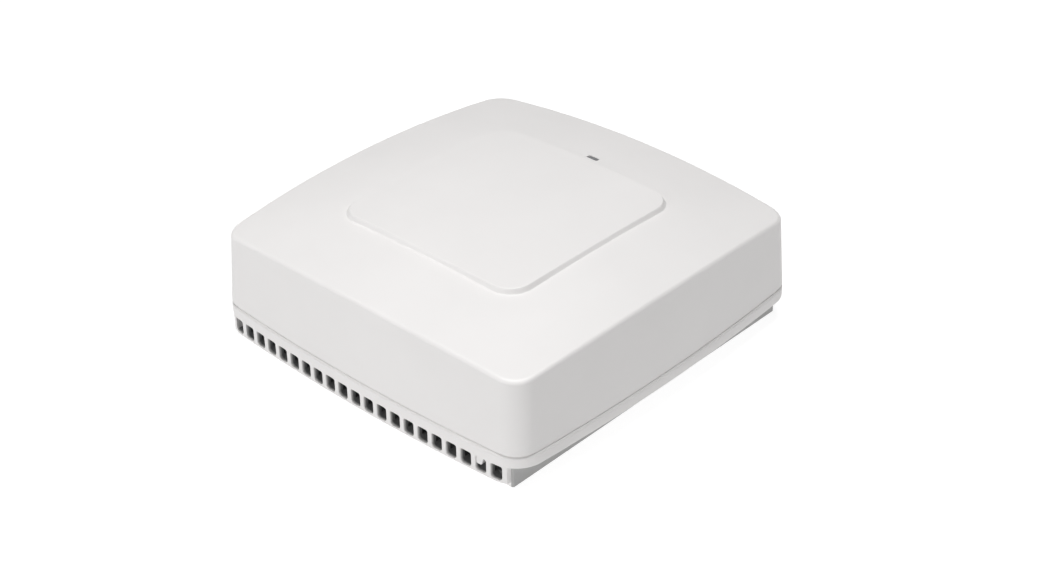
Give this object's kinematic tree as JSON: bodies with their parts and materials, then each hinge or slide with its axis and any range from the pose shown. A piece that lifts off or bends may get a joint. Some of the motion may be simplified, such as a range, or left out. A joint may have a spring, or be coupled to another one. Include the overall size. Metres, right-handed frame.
{
  "type": "ceiling access point",
  "caption": "Square white ceiling access point: domed cover with a raised square panel, light window, vented side, keyhole back plate and a cable recess with sockets and a reset button.",
  "frame": {"origin": "centre of the underside, in the plane of the foot that runs round the lower housing", "axes": "+Z out of the back plate through the domed cover; -Y towards the side with the row of vents; +Y towards the cable channel; +X to the right when the vents are in front and the cover is up"},
  "size_m": [0.1412, 0.1412, 0.0477],
  "materials": {
    "cover_plastic": "satin moulded white",
    "base_plastic": "satin moulded white, a little greyer than the cover",
    "plate_steel": "zinc plated sheet",
    "screw_steel": "zinc plated",
    "circuit_board": "green solder mask",
    "shield_tin": "tinned sheet",
    "chip_epoxy": "moulded black epoxy",
    "socket_plastic": "black glass-filled plastic",
    "button_plastic": "black, lightly polished by use",
    "contact_brass": "gold flash",
    "antenna_brass": "stamped sheet",
    "lead_sheath": "thin black sheath",
    "heatsink_aluminium": "cast, blasted",
    "tray_aluminium": "rolled sheet",
    "thermal_pad": "soft filled silicone",
    "light_pipe": "smoked clear plastic, unlit",
    "capacitor_sleeve": "shrink sleeve with a bare aluminium top",
    "label_film": "blank film label"
  },
  "bodies": {
    "housing": {"top_cover": "cover_plastic", "base_housing": "base_plastic", "back_plate": "plate_steel", "plate_screw_1": "screw_steel", "plate_screw_2": "screw_steel", "plate_screw_3": "screw_steel", "plate_screw_4": "screw_steel", "housing_screw_1": "screw_steel", "housing_screw_2": "screw_steel", "housing_screw_3": "screw_steel", "housing_screw_4": "screw_steel", "board_screw_1": "screw_steel", "board_screw_2": "screw_steel", "board_screw_3": "screw_steel", "board_screw_4": "screw_steel", "heatsink_screw_1": "screw_steel", "heatsink_screw_2": "screw_steel", "main_board": "circuit_board", "shield_can_24ghz": "shield_tin", "shield_can_5ghz": "shield_tin", "ethernet_jack_shell": "shield_tin", "radio_chip_24ghz": "chip_epoxy", "radio_chip_5ghz": "chip_epoxy", "memory_chip": "chip_epoxy", "flash_chip": "chip_epoxy", "processor_chip": "chip_epoxy", "poe_transformer": "chip_epoxy", "power_inductor": "chip_epoxy", "ethernet_jack_body": "socket_plastic", "power_jack_body": "socket_plastic", "ethernet_magnetics": "socket_plastic", "reset_switch": "socket_plastic", "ethernet_contacts": "contact_brass", "power_jack_pin": "contact_brass", "antenna_plug_24ghz_1": "contact_brass", "antenna_plug_24ghz_2": "contact_brass", "antenna_plug_5ghz_1": "contact_brass", "antenna_plug_5ghz_2": "contact_brass", "antenna_24ghz_1": "antenna_brass", "antenna_24ghz_2": "antenna_brass", "antenna_5ghz_1": "antenna_brass", "antenna_5ghz_2": "antenna_brass", "antenna_lead_24ghz_1": "lead_sheath", "antenna_lead_24ghz_2": "lead_sheath", "antenna_lead_5ghz_1": "lead_sheath", "antenna_lead_5ghz_2": "lead_sheath", "heatsink": "heatsink_aluminium", "antenna_tray": "tray_aluminium", "thermal_pad": "thermal_pad", "led_light_pipe": "light_pipe", "status_led": "light_pipe", "capacitor_1": "capacitor_sleeve", "capacitor_2": "capacitor_sleeve", "blank_label": "label_film"},
    "reset_button": {"reset_button": "button_plastic", "reset_plunger": "button_plastic"}
  },
  "joints": [
    {"name": "reset_press", "type": "slide", "parent": "housing", "child": "reset_button", "axis": [0, -1, 0], "range_m": [0, 0.0007], "stiffness_N_per_m": 2000, "springref_m": -0.0003}
  ]
}
